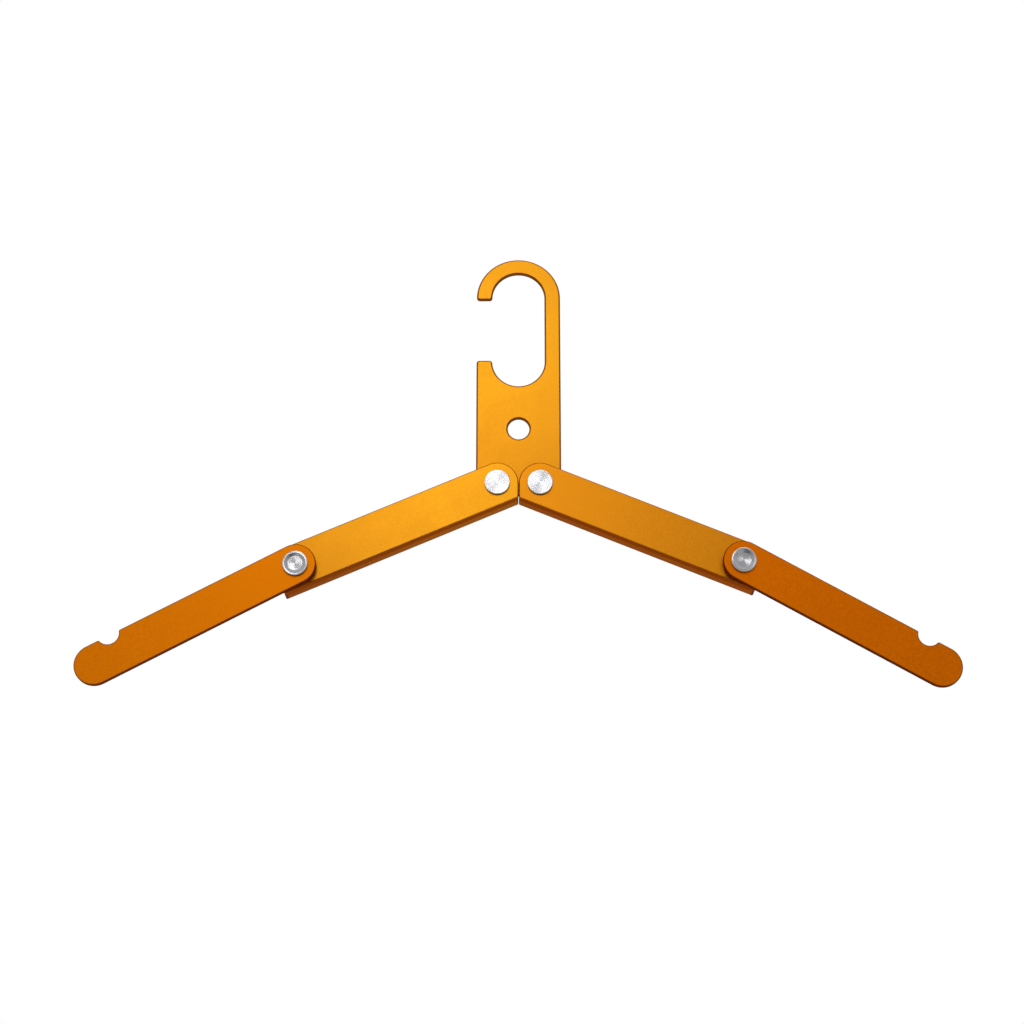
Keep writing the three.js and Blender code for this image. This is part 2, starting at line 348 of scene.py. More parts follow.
@dataclass
class Draft:
    """A piece on the drawing board: points with their directions, and faces.

    Attributes:
        points: Where the corners are, in the piece's own frame.
        normals: The direction out of the material at each point.
        shade_depths: How dark the painted shade is: 0 on faces, 1 on rounded edges and cut sides.
        faces: The points of each face, anticlockwise as seen from outside.
    """

    points: list[Vector] = field(default_factory=list)
    normals: list[Vector] = field(default_factory=list)
    shade_depths: list[float] = field(default_factory=list)
    faces: list[tuple[int, ...]] = field(default_factory=list)

    def ring(
        self, points: Sequence[Vector], normals: Sequence[Vector], shade_depths: Sequence[float]
    ) -> range:
        """Adds points without faces.

        Args:
            points: Their places.
            normals: The directions out of the material there.
            shade_depths: How dark the painted shade is there.

        Returns:
            The numbers of the new points.
        """
        first = len(self.points)
        self.points += points
        self.normals += normals
        self.shade_depths += shade_depths
        return range(first, len(self.points))

    def sleeve(self, low: range, high: range) -> None:
        """Joins two closed rings by a band of faces, with out to the right of the way they run.

        Args:
            low: The first ring's points.
            high: The second ring's. Either ring may be one point, the tip of a cone.
        """
        count = max(len(low), len(high))
        for index in range(count):
            after = (index + 1) % count
            rising = (low[index % len(low)], high[index % len(high)])
            falling = (high[after % len(high)], low[after % len(low)])
            self.faces.append(tuple(dict.fromkeys(rising + falling)))

    def build(self, name: str, placing: Placing) -> bpy.types.Object:
        """Makes the draft into an object.

        Args:
            name: The object's name.
            placing: Where the piece's own frame lies.

        Returns:
            The object, with its origin at the frame's origin.
        """
        places = [placing.direction(point) * MM for point in self.points]
        faces = [face[::-1] for face in self.faces] if placing.mirrors else self.faces
        mesh = bpy.data.meshes.new(name)
        mesh.from_pydata(places, [], faces)
        mesh.polygons.foreach_set("use_smooth", [True] * len(mesh.polygons))
        # each point's painted shade, which darkens the finishes' colours
        mesh.attributes.new(PAINTED_SHADE, "FLOAT", "POINT").data.foreach_set("value", self.shade_depths)
        mesh.update()
        mesh.normals_split_custom_set_from_vertices(
            [placing.direction(normal).normalized() for normal in self.normals]
        )
        piece = bpy.data.objects.new(name, mesh)
        piece.location = placing.origin * MM
        bpy.context.scene.collection.objects.link(piece)
        return piece


def inside(point: Vector, loop: Sequence[Vector]) -> bool:
    """Tests a point against a closed line.

    Args:
        point: The point.
        loop: The closed line's points.

    Returns:
        True where the line goes round the point.
    """
    odd = False
    for index, here in enumerate(loop):
        before = loop[index - 1]
        if (here.y > point.y) != (before.y > point.y):
            share = (point.y - here.y) / (before.y - here.y)
            odd ^= point.x < here.x + share * (before.x - here.x)
    return odd


def triangles_between(
    loops: Sequence[Sequence[Vector]], creases: Sequence[tuple[int, int]]
) -> list[tuple[int, ...]]:
    """Fills a closed line, apart from the holes in it, with triangles.

    Args:
        loops: The outer line, and then a line round each hole.
        creases: Pairs of the outer line's points that a straight edge has to join.

    Returns:
        The triangles, anticlockwise, as numbers of the loops' points taken together.
    """
    spots = [point for loop in loops for point in loop]
    edges = list(creases)
    first = 0
    for loop in loops:
        edges += [(first + index, first + (index + 1) % len(loop)) for index in range(len(loop))]
        first += len(loop)
    filled = delaunay_2d_cdt(spots, edges, [], INSIDE_THE_LINES, FILL_ACCURACY)
    _, _, found, sources, _, _ = filled
    triangles = []
    for face in found:
        corners = [sources[corner][0] for corner in face]
        one, two, three = [spots[corner] for corner in corners]
        middle = (one + two + three) / 3
        if not any(inside(middle, hole) for hole in loops[1:]):
            turns_left = (two - one).cross(three - one) > 0
            triangles.append(tuple(corners if turns_left else corners[::-1]))
    return triangles


@dataclass(frozen=True)
class Blank:
    """A flat piece cut from plate, with its edges rounded.

    Attributes:
        outline: Its outer line.
        holes: The lines of its holes.
        low: The depth of its front face.
        high: The depth of its rear face.
        edge: The rounding of its edges.
        pockets: The lines of blind holes in its rear face, each with its floor's depth.
        creases: Pairs of the outline's points that a straight edge has to join.
    """

    outline: Trace
    holes: Sequence[Trace]
    low: float
    high: float
    edge: float
    pockets: Sequence[tuple[Trace, float]] = ()
    creases: Sequence[tuple[int, int]] = ()

    def draft(self, shape: Shape) -> Draft:
        """Draws the blank.

        Args:
            shape: How the blank is laid or folded.

        Returns:
            The finished draft.
        """
        draft = Draft()
        fronts = []
        rears = []
        for loop in [self.outline, *self.holes]:
            rings = self._wall(draft, shape, loop, self._full_edge())
            fronts.append(rings[0])
            rears.append(rings[-1])
        for loop, floor in self.pockets:
            rings = self._wall(draft, shape, loop, [(0.0, floor), *self._rear_edge()])
            rears.append(rings[-1])
            self._floor(draft, shape, loop, floor)
        self._face(draft, [self.outline, *self.holes], fronts, True)
        pocket_loops = [loop for loop, _ in self.pockets]
        self._face(draft, [self.outline, *self.holes, *pocket_loops], rears, False)
        return draft

    def _rear_edge(self) -> list[tuple[float, float]]:
        """The rounded rear edge, as pairs of a lean and a depth from the side wall to the face."""
        leans = [QUARTER * step / EDGE_STEPS for step in range(EDGE_STEPS + 1)]
        return [(lean, self.high - self.edge * (1 - math.sin(lean))) for lean in leans]

    def _full_edge(self) -> list[tuple[float, float]]:
        """The front edge, the side wall and the rear edge, as pairs of a lean and a depth."""
        rear = self._rear_edge()
        return [(-lean, self.low + self.high - depth) for lean, depth in reversed(rear)] + rear

    def _wall(
        self, draft: Draft, shape: Shape, loop: Trace, profile: Sequence[tuple[float, float]]
    ) -> list[range]:
        """Draws the rings along one line of the blank and the bands between them.

        Args:
            draft: The draft that gets them.
            shape: How the blank is laid or folded.
            loop: The line.
            profile: The lean and depth of each ring.

        Returns:
            The rings.
        """
        rings = []
        for lean, depth in profile:
            cosine = math.cos(lean)
            sine = math.sin(lean)
            inset = self.edge * (1 - cosine)
            spots = [point - normal * inset for point, normal in zip(loop.points, loop.normals)]
            leaning = [Vector((*(normal * cosine), sine)) for normal in loop.normals]
            is_face = abs(lean) == QUARTER
            rings.append(
                draft.ring(
                    [shape.point(spot.x, spot.y, depth) for spot in spots],
                    [shape.direction(spot.y, normal) for spot, normal in zip(spots, leaning)],
                    # faces take the shape's painted shade; rounded edges and side walls the full
                    # painted shade
                    [shape.depth_of_painted_shade(spot.y) if is_face else FULL_SHADE for spot in spots],
                )
            )
        for low, high in zip(rings, rings[1:]):
            draft.sleeve(low, high)
        return rings

    def _floor(self, draft: Draft, shape: Shape, loop: Trace, floor: float) -> None:
        """Closes a blind hole by its floor.

        Args:
            draft: The draft that gets it.
            shape: How the blank is laid or folded.
            loop: The hole's line.
            floor: The floor's depth.
        """
        ring = draft.ring(
            [shape.point(point.x, point.y, floor) for point in loop.points],
            [shape.direction(point.y, Vector((0, 0, 1))) for point in loop.points],
            # a blind hole's floor is painted in full shade
            [FULL_SHADE] * len(loop.points),
        )
        for triangle in triangles_between([loop.points], []):
            draft.faces.append(tuple(ring[corner] for corner in reversed(triangle)))

    def _face(
        self, draft: Draft, loops: Sequence[Trace], rings: Sequence[range], is_front: bool
    ) -> None:
        """Fills the front or the rear face between the rings at its edges.

        Args:
            draft: The draft that gets it.
            loops: The outline, and then the lines of the holes in the face.
            rings: The ring at the face's edge along each line.
            is_front: True for the front face.
        """
        spots = [
            [point - normal * self.edge for point, normal in zip(loop.points, loop.normals)]
            for loop in loops
        ]
        numbers = [number for ring in rings for number in ring]
        for triangle in triangles_between(spots, self.creases):
            corners = triangle if is_front else triangle[::-1]
            draft.faces.append(tuple(numbers[corner] for corner in corners))


def turned_draft(corners: Sequence[Corner], ring: bool = False) -> Draft:
    """A piece turned about Y, drawn as it faces the front.

    Args:
        corners: The profile, with each corner's radius and its height towards the front, from
            the outer face's middle outwards, or round the section of a ring.
        ring: True for a ring with a bore.

    Returns:
        The finished draft.
    """
    flipped = [Corner(corner.x, -corner.y, corner.rounding, corner.depth) for corner in corners]
    trace = profile_trace(flipped, ring)
    angles = [FULL_TURN * side / TURNED_SIDES for side in range(TURNED_SIDES)]
    circle = [Vector((math.cos(angle), 0, math.sin(angle))) for angle in angles]
    draft = Draft()
    rings = []
    for spot, normal, depth in zip(trace.points, trace.normals, trace.shade_depths):
        rounds = circle[:1] if spot.x < SAME_PLACE else circle
        rings.append(
            draft.ring(
                [out * spot.x + Vector((0, spot.y, 0)) for out in rounds],
                [out * normal.x + Vector((0, normal.y, 0)) for out in rounds],
                [depth] * len(rounds),
            )
        )
    if ring:
        rings.append(rings[0])
    for first, second in zip(rings, rings[1:]):
        draft.sleeve(first, second)
    return draft


# Shader maths


class Graph:
    """A node tree that grows by one method, so that shader maths reads as sums."""

    def __init__(self, tree: bpy.types.NodeTree) -> None:
        """Takes a tree over and empties it."""
        self.tree = tree
        tree.nodes.clear()

    def node(
        self, kind: str, settings: dict[str, Any], inputs: dict[Union[str, int], Link]
    ) -> bpy.types.Node:
        """Adds a node.

        Args:
            kind: The node's type.
            settings: Its settings, which are set first.
            inputs: The value or the link of each socket that isn't left alone.

        Returns:
            The new node.
        """
        node = self.tree.nodes.new(kind)
        for name, setting in settings.items():
            setattr(node, name, setting)
        for name, value in inputs.items():
            given = value.socket if isinstance(value, Value) else value
            if isinstance(given, bpy.types.NodeSocket):
                self.tree.links.new(given, node.inputs[name])
            else:
                node.inputs[name].default_value = given
        return node

    def math(self, operation: str, *terms: Link) -> "Value":
        """A Math node on numbers or values."""
        made = self.node("ShaderNodeMath", {"operation": operation}, dict(enumerate(terms)))
        return Value(self, made.outputs[0])

    def _on_vectors(self, operation: str, inputs: dict[Union[str, int], Link]) -> bpy.types.Node:
        """A Vector Math node."""
        return self.node("ShaderNodeVectorMath", {"operation": operation}, inputs)

    def vector(self, operation: str, *terms: Link) -> bpy.types.NodeSocket:
        """A vector worked out of vectors."""
        return self._on_vectors(operation, dict(enumerate(terms))).outputs["Vector"]

    def measure(self, operation: str, *terms: Link) -> "Value":
        """A number worked out of vectors, such as a length."""
        return Value(self, self._on_vectors(operation, dict(enumerate(terms))).outputs["Value"])

    def scaled(self, vector: Link, factor: Link) -> bpy.types.NodeSocket:
        """A vector or colour times a number or value."""
        return self._on_vectors("SCALE", {0: vector, "Scale": factor}).outputs["Vector"]

    def noise(self, place: Link, spacing: float, detail: float = 2.0) -> "Value":
        """Soft noise about zero, with its features a spacing apart, in metres."""
        inputs = {"Vector": place, "Scale": 1 / spacing, "Detail": detail}
        return Value(self, self.node("ShaderNodeTexNoise", {}, inputs).outputs[0]) - NOISE_MIDDLE

    def mixed(self, factor: Link, first: Link, second: Link) -> bpy.types.NodeSocket:
        """A colour between two colours."""
        inputs = {MIX_FACTOR: factor, MIX_FIRST: first, MIX_SECOND: second}
        return self.node("ShaderNodeMix", {"data_type": "RGBA"}, inputs).outputs[MIX_RESULT]

    def coordinate(self, name: str) -> bpy.types.NodeSocket:
        """A coordinate of the surface, such as Object, the place from the piece's pivot."""
        return self.node("ShaderNodeTexCoord", {}, {}).outputs[name]

    def mesh_painted_shade(self) -> "Value":
        """How dark the painted shade is, as the mesh says."""
        attribute = self.node("ShaderNodeAttribute", {"attribute_name": PAINTED_SHADE}, {})
        return Value(self, attribute.outputs["Fac"])

    def bump(self, height: Link, strength: float, distance: float) -> bpy.types.NodeSocket:
        """The normal of a surface with fine bumps."""
        inputs = {"Height": height, "Strength": strength, "Distance": distance}
        return self.node("ShaderNodeBump", {}, inputs).outputs["Normal"]

    def surface(self, kind: str, target: str, inputs: dict[str, Link]) -> None:
        """Ends the tree in one shader and its output."""
        shader = self.node(kind, {}, inputs)
        self.node(target, {}, {"Surface": shader.outputs[0]})


class Value:
    """A number that varies over a surface. A sum made with it adds a Math node."""

    def __init__(self, graph: Graph, socket: bpy.types.NodeSocket) -> None:
        """Wraps a socket of a graph."""
        self.graph = graph
        self.socket = socket

    def __add__(self, other: Link) -> "Value":
        """This value and another, or a number, together."""
        return self.graph.math("ADD", self, other)

    def __sub__(self, other: Link) -> "Value":
        """This value less another, or a number."""
        return self.graph.math("SUBTRACT", self, other)

    def __rsub__(self, other: Link) -> "Value":
        """A number less this value."""
        return self.graph.math("SUBTRACT", other, self)

    def __mul__(self, other: Link) -> "Value":
        """This value times another, or a number."""
        return self.graph.math("MULTIPLY", self, other)

    # A sum and a product are the same either way round
    __radd__ = __add__
    __rmul__ = __mul__

    def sine(self) -> "Value":
        """The sine of this value."""
        return self.graph.math("SINE", self)

    def highest(self, other: Link) -> "Value":
        """The larger of this value and another."""
        return self.graph.math("MAXIMUM", self, other)


# Finishes


def opaque(colour: Colour) -> tuple[float, float, float, float]:
    """A colour as a shader takes it, with its alpha at one."""
    return (*colour, 1.0)


class Finish:
    """A finish, which works out the inputs of one shader."""

    def inputs(self, graph: Graph) -> dict[str, Link]:
        """The shader's inputs, by the names of their sockets."""
        raise NotImplementedError

    def material(self, name: str) -> bpy.types.Material:
        """Makes the finish into a material.

        Args:
            name: The material's name.

        Returns:
            The material.
        """
        material = bpy.data.materials.new(name)
        material.use_nodes = True
        graph = Graph(material.node_tree)
        inputs = self.inputs(graph)
        graph.surface("ShaderNodeBsdfPrincipled", "ShaderNodeOutputMaterial", inputs)
        return material


@dataclass(frozen=True)
class ShadeRamp:
    """Painted shade that darkens a piece towards one end.

    Attributes:
        way: The way that the shade darkens, from the piece's pivot.
        start: Where the painted shade starts, in metres that way.
        rate: How much darker it gets for each metre after that.
    """

    way: Place
    start: float
    rate: float


@dataclass(frozen=True)
class Anodised(Finish):
    """Bead-blasted aluminium with a dyed anodic layer.

    Attributes:
        dye: The colour of the faces.
        bend_shade: The colour of the bends and under the trough's floor, painted darker as shade.
        edge_shade: The colour of the rounded edges and cut sides, painted darkest as shade.
        run: The painted shade that darkens the piece towards one end, if any.
        slant_tint: The colour that is left of the white gloss at a slant.
        roughness: The middle roughness.
        bead_spacing: The distance between the dimples of the blasting, in metres.
        bead_depth: The depth of the dimples, in metres.
        bead_strength: How much of that depth the light meets.
        bead_roughness: How far the dimples change the roughness.
        sparkle: How far the dimples change the colour.
        cloud_spacing: The size of the faint clouds in the dye, in metres.
        cloud_detail: How ragged the clouds are.
        cloud_roughness: How far the clouds change the roughness.
        cloud: How far the clouds change the colour.
    """

    dye: Colour
    bend_shade: Colour
    edge_shade: Colour
    run: ShadeRamp | None = None
    slant_tint: Colour = (0.43, 0.30, 0.42)
    roughness: float = 0.36
    bead_spacing: float = 0.0008
    bead_depth: float = 0.000014
    bead_strength: float = 0.6
    bead_roughness: float = 0.16
    sparkle: float = 0.42
    cloud_spacing: float = 0.018
    cloud_detail: float = 3.0
    cloud_roughness: float = 0.08
    cloud: float = 0.08

    def depth(self, graph: Graph, place: Link) -> Value:
        """How dark the painted shade is: what the mesh says, and more towards the ramp's end.

        Args:
            graph: The material's graph.
            place: The place on the piece, from its pivot.

        Returns:
            The painted shade, from 0 on faces to 1 on edges, and more towards that end.
        """
        meshed = graph.mesh_painted_shade()
        if self.run is None:
            return meshed
        along = graph.measure("DOT_PRODUCT", place, self.run.way)
        return (along - self.run.start).highest(0.0) * self.run.rate + meshed

    def inputs(self, graph: Graph) -> dict[str, Link]:
        """Works out the shader's inputs.

        Args:
            graph: The material's graph.

        Returns:
            The inputs, by the names of their sockets.
        """
        place = graph.coordinate("Object")
        beads = graph.noise(place, self.bead_spacing)
        clouds = graph.noise(place, self.cloud_spacing, self.cloud_detail)
        steps = self.depth(graph, place) * 2  # painted shade: one step from face to bend colour, one more to edge colour
        # The faces' dye, painted darker as shade towards the bend and the edge colours
        dye = graph.mixed(steps, opaque(self.dye), opaque(self.bend_shade))
        dye = graph.mixed(steps - 1, dye, opaque(self.edge_shade))
        tone = 1 + beads * self.sparkle + clouds * self.cloud
        change = beads * self.bead_roughness + clouds * self.cloud_roughness
        return {
            "Base Color": graph.scaled(dye, tone),
            "Metallic": 1.0,
            "Specular Tint": opaque(self.slant_tint),
            "Roughness": self.roughness + change,
            "Normal": graph.bump(beads, self.bead_strength, self.bead_depth),
        }


@dataclass(frozen=True)
class Turned(Finish):
    """Bright metal turned on a lathe, with fine grooves round the piece's own axis.

    Attributes:
        metal: Its colour.
        shaded_wall_metal: Its colour on side walls and dish slopes, painted darker as shade.
        roughness: The middle roughness.
        groove_spacing: The distance between two grooves, in metres.
        groove_slope: How far the grooves tip the surface, as a slope.
        smear_size: The size of the smears in the turning, in grooves.
        smear_wander: How far a smear moves a groove, as an angle of the grooves' wave.
        smear_tone: How far the smears change the colour.
        smear_roughness: How far the smears change the roughness.
    """

    metal: Colour
    shaded_wall_metal: Colour
    roughness: float
    groove_spacing: float
    groove_slope: float
    smear_size: float = 6.0
    smear_wander: float = 4.0
    smear_tone: float = 0.08
    smear_roughness: float = 0.12

    def inputs(self, graph: Graph) -> dict[str, Link]:
        """Works out the shader's inputs.

        Args:
            graph: The material's graph.

        Returns:
            The inputs, by the names of their sockets.
        """
        place = graph.coordinate("Object")
        outward = graph.vector("MULTIPLY", place, OFF_AXIS)
        smear = graph.noise(place, self.smear_size * self.groove_spacing)
        waves = graph.measure("LENGTH", outward) * (FULL_TURN / self.groove_spacing)
        slope = (waves + smear * self.smear_wander).sine() * self.groove_slope
        tip = graph.scaled(graph.vector("NORMALIZE", outward), slope)
        grooved = graph.vector("NORMALIZE", graph.vector("ADD", graph.coordinate("Normal"), tip))
        kinds = {"vector_type": "NORMAL", "convert_from": "OBJECT", "convert_to": "WORLD"}
        # side walls and dish slopes are painted darker, as shade
        metal = graph.mixed(graph.mesh_painted_shade(), opaque(self.metal), opaque(self.shaded_wall_metal))
        return {
            "Base Color": graph.scaled(metal, 1 + smear * self.smear_tone),
            "Metallic": 1.0,
            "Roughness": self.roughness + smear * self.smear_roughness,
            "Normal": graph.node("ShaderNodeVectorTransform", kinds, {0: grooved}).outputs[0],
        }


@dataclass(frozen=True)
class Moulded(Finish):
    """Matte natural nylon.

    Attributes:
        colour: Its colour.
        roughness: The middle roughness.
        grain_spacing: The size of its fine grain, in metres.
        grain_depth: The grain's depth, in metres.
        grain_strength: How much of that depth the light meets.
        grain_change: How far the grain changes the colour and the roughness.
    """

    colour: Colour
    roughness: float = 0.55
    grain_spacing: float = 0.0003
    grain_depth: float = 0.000015
    grain_strength: float = 0.4
    grain_change: float = 0.1

    def inputs(self, graph: Graph) -> dict[str, Link]:
        """Works out the shader's inputs.

        Args:
            graph: The material's graph.

        Returns:
            The inputs, by the names of their sockets.
        """
        grain = graph.noise(graph.coordinate("Object"), self.grain_spacing)
        change = grain * self.grain_change
        return {
            "Base Color": graph.scaled(self.colour, 1 + change),
            "Roughness": self.roughness + change,
            "Normal": graph.bump(grain, self.grain_strength, self.grain_depth),
        }


@dataclass(frozen=True)
class Paint(Finish):
    """The studio's plain matte paint.

    Attributes:
        colour: Its colour.
        roughness: Its roughness.
    """

    colour: Colour
    roughness: float = 0.9

    def inputs(self, graph: Graph) -> dict[str, Link]:
        """The shader's inputs, which need nothing of the graph."""
        return {"Base Color": opaque(self.colour), "Roughness": self.roughness}


# The colours of an anodised coat's faces, bends and edges, and of a turned one's faces and walls.
# Bends, edges and walls are painted shade, and the shaded coats paint the right side darker.
AMBER_DYES = ((0.79, 0.325, 0.012), (0.36, 0.060, 0.004), (0.27, 0.090, 0.008))
SHADED_AMBER_DYES = ((0.72, 0.250, 0.008), (0.34, 0.055, 0.004), (0.25, 0.080, 0.008))
COPPER_DYES = ((0.80, 0.207, 0.002), (0.40, 0.070, 0.003), (0.20, 0.055, 0.005))
SHADED_COPPER_DYES = ((0.755, 0.166, 0.001), (0.38, 0.060, 0.002), (0.18, 0.045, 0.004))
SILVER_METALS = ((0.52, 0.52, 0.54), (0.25, 0.26, 0.29))
SPRING_METALS = ((0.30, 0.31, 0.33), (0.22, 0.23, 0.25))

NATURAL_NYLON = (0.80, 0.78, 0.70)
COPPER_ROUGHNESS = 0.42
ALONG_LEFT_ARM = (-0.918, 0.0, -0.396)  # the way that the opened left inner arm points

FINISHES: dict[Coat, Finish] = {
    # The plate is painted darker towards its foot, and the left inner arm towards its far end, as
    # shade
    Coat.PLATE_AMBER: Anodised(*AMBER_DYES, ShadeRamp(DOWN, start=-0.047, rate=3.0)),
    Coat.AMBER: Anodised(*AMBER_DYES, ShadeRamp(ALONG_LEFT_ARM, start=0.030, rate=1.75)),
    Coat.DEEP_AMBER: Anodised(*SHADED_AMBER_DYES),
    Coat.COPPER: Anodised(*COPPER_DYES, roughness=COPPER_ROUGHNESS),
    Coat.DEEP_COPPER: Anodised(*SHADED_COPPER_DYES, roughness=COPPER_ROUGHNESS),
    Coat.SILVER: Turned(
        *SILVER_METALS, roughness=0.17, groove_spacing=0.00013, groove_slope=0.105
    ),
    Coat.SPRING: Turned(*SPRING_METALS, roughness=0.34, groove_spacing=0.0001, groove_slope=0.08),
    Coat.NYLON: Moulded(NATURAL_NYLON),
}


# Reading the frame


@dataclass(frozen=True)
class FrameBook:
    """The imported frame, read in millimetres.

    Attributes:
        materials: The material of each finish.
    """

    frame: dict[str, Any]
    materials: dict[Coat, bpy.types.Material]

    def pivot(self, joint: str) -> Vector:
        """The middle of a joint's axis."""
        places = {row["name"]: row["pos_m"] for row in self.frame["joints"]}
        return Vector(places[joint]) / MM

    def low(self, node: str) -> Vector:
        """A node's lowest corner."""
        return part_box(node)[0] / MM

    def high(self, node: str) -> Vector:
        """A node's highest corner."""
        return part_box(node)[1] / MM

    def fit(self, draft: Draft, node: str, placing: Placing, coat: Coat) -> None:
        """Makes a drawn piece, dresses it, and puts it on its body in place of a CAD node.

        Args:
            draft: The drawn piece.
            node: The CAD node that it stands for.
            placing: Where its own frame lies.
            coat: Its finish.
        """
        record = self.frame["record"]
        bodies = record["behaviour"]["bodies"]
        body = next(name for name, members in bodies.items() if node in members)
        slots = {row["node"]: row["material_slot"] for row in record["subparts"]}
        piece = draft.build(f"{node}.fine", placing)
        piece.data.materials.append(self.materials[coat])
        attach(piece, body)
        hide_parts(node)
        log.info("%s rides on %s, %d faces", piece.name, body, len(piece.data.polygons))


# Sub-assemblies


@dataclass(frozen=True)
class HookPlate:
    """The slotted plate that hangs on a rod, with a lanyard hole and two lobes at its foot.

    Attributes:
        book: The frame.
        slot_width: The width of its slot.
        slot_low: The lower slot centre's height above the inner pivots.
        slot_high: The upper slot centre's height above the inner pivots.
        tip_drop: How far the tip's end lies below the upper slot centre.
        lip_rise: How far the lip's end lies above the lower slot centre.
        corner: The rounding of the lip and the tip.
        saddle: The rounding between the lobes.
        hole: The lanyard hole's diameter.
        hole_height: The lanyard hole's height above the inner pivots.
        bore: The diameter of the pivots' bores.
        edge: The rounding of its edges.
    """

    book: FrameBook
    slot_width: float = 25.0
    slot_low: float = 61.9
    slot_high: float = 94.5
    tip_drop: float = 1.0
    lip_rise: float = 0.45
    corner: float = 1.5
    saddle: float = 3.0
    hole: float = 10.2
    hole_height: float = 27.8
    bore: float = PIVOT_BORE
    edge: float = 0.8

    @property
    def half_width(self) -> float:
        """Half the plate's width."""
        return self.book.high(PLATE).x

    @property
    def half_pivots(self) -> float:
        """Half the distance between the inner pivots."""
        return self.book.pivot("right_inner_fold").x

    def _end_rounding(
        self, centre: float, past: float, up: int, reach: float
    ) -> tuple[float, float, float]:
        """Where the rounding between an arc about a slot centre and a level end sits.

        Args:
            centre: The slot centre's height.
            past: How far the end lies past that centre.
            up: 1 for the lip and -1 for the tip.
            reach: The distance from the slot centre to the rounding's.

        Returns:
            The rounding's centre, and the angle that it lies at, seen from the slot centre.
        """
        rise = max(self.corner - past, 0.0)
        x = -math.sqrt(reach**2 - rise**2)
        return x, centre + up * (past - self.corner), math.atan2(rise, -x)

    def outline(self) -> Trace:
        """Draws the plate's outer line, with the inner pivots at height zero.

        Returns:
            The line, anticlockwise from the right-hand end of the hook's round top.
        """
        slot = self.slot_width / 2
        lobe = self.half_width - self.half_pivots
        lip_x, lip_z, lip_turn = self._end_rounding(
            self.slot_low, self.lip_rise, 1, slot + self.corner
        )
        tip_x, tip_z, tip_turn = self._end_rounding(
            self.slot_high, self.tip_drop, -1, slot + self.corner
        )
        side_x, side_z, side_turn = self._end_rounding(
            self.slot_high, self.tip_drop, -1, self.half_width - self.corner
        )
        saddle_z = -math.sqrt((lobe + self.saddle) ** 2 - self.half_pivots**2)
        saddle_turn = math.atan2(-saddle_z, self.half_pivots)
        return (
            Trace()
            .arc(0, self.slot_high, self.half_width, 0, HALF_TURN - side_turn)
            .arc(side_x, side_z, self.corner, HALF_TURN - side_turn, 3 * QUARTER)
            .arc(tip_x, tip_z, self.corner, 3 * QUARTER, FULL_TURN - tip_turn)
            .arc(0, self.slot_high, slot, HALF_TURN - tip_turn, 0)
            .arc(0, self.slot_low, slot, 0, lip_turn - HALF_TURN)
            .arc(lip_x, lip_z, self.corner, lip_turn, QUARTER)
            .arc(self.corner - self.half_width, lip_z, self.corner, QUARTER, HALF_TURN)
            .arc(-self.half_pivots, 0, lobe, HALF_TURN, FULL_TURN - saddle_turn)
            .arc(0, saddle_z, self.saddle, HALF_TURN - saddle_turn, saddle_turn)
            .arc(self.half_pivots, 0, lobe, HALF_TURN + saddle_turn, FULL_TURN)
            .closed()
        )

    def build(self) -> None:
        """Builds and dresses the plate."""
        holes = [round_hole(0, self.hole_height, self.hole / 2)]
        holes += [round_hole(side.sign * self.half_pivots, 0, self.bore / 2) for side in Side]
        low = self.book.low(PLATE).y
        high = self.book.high(PLATE).y
        draft = Blank(self.outline(), holes, low, high, self.edge).draft(FlatShape())
        placing = Placing(Vector((0, 0, self.book.pivot("right_inner_fold").z)))
        self.book.fit(draft, PLATE, placing, Coat.PLATE_AMBER)


def droop_of(step: Vector) -> float:
    """How far a line points below the horizontal."""
    return math.atan2(-step.z, abs(step.x))


